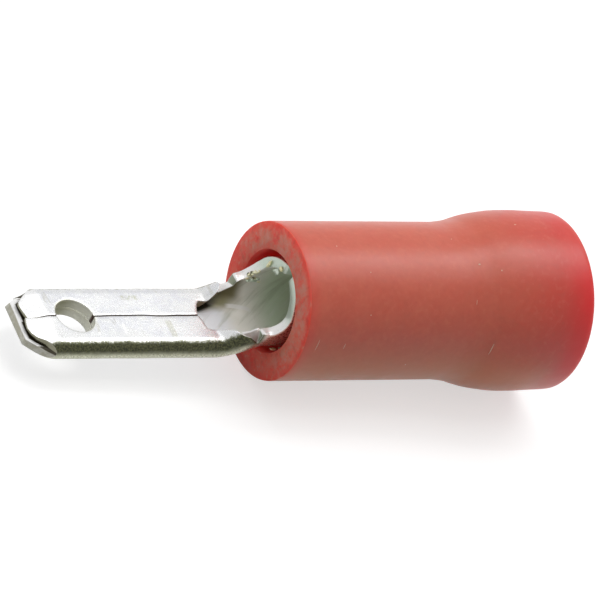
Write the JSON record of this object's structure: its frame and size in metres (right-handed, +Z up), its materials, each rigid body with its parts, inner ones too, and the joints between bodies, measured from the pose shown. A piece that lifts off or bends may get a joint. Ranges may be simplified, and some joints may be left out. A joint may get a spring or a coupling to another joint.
{
  "type": "male spade terminal",
  "caption": "Insulated male spade terminal: folded flat blade with a latching hole, rolled wire barrel and a belled vinyl sleeve.",
  "frame": {"origin": "on the wire barrel's axis, at the front end of the closed barrel", "axes": "+X along the wire barrel's axis towards the end where the wire goes in, so the blade points along -X; +Z up, square to the blade's flat top; +Y completes the frame"},
  "size_m": [0.0204, 0.0062, 0.0062],
  "materials": {
    "tinned_brass": "bright tin plate over brass",
    "red_vinyl": "translucent red vinyl, satin"
  },
  "bodies": {
    "root": {"terminal": "tinned_brass", "insulating_sleeve": "red_vinyl"}
  },
  "joints": []
}
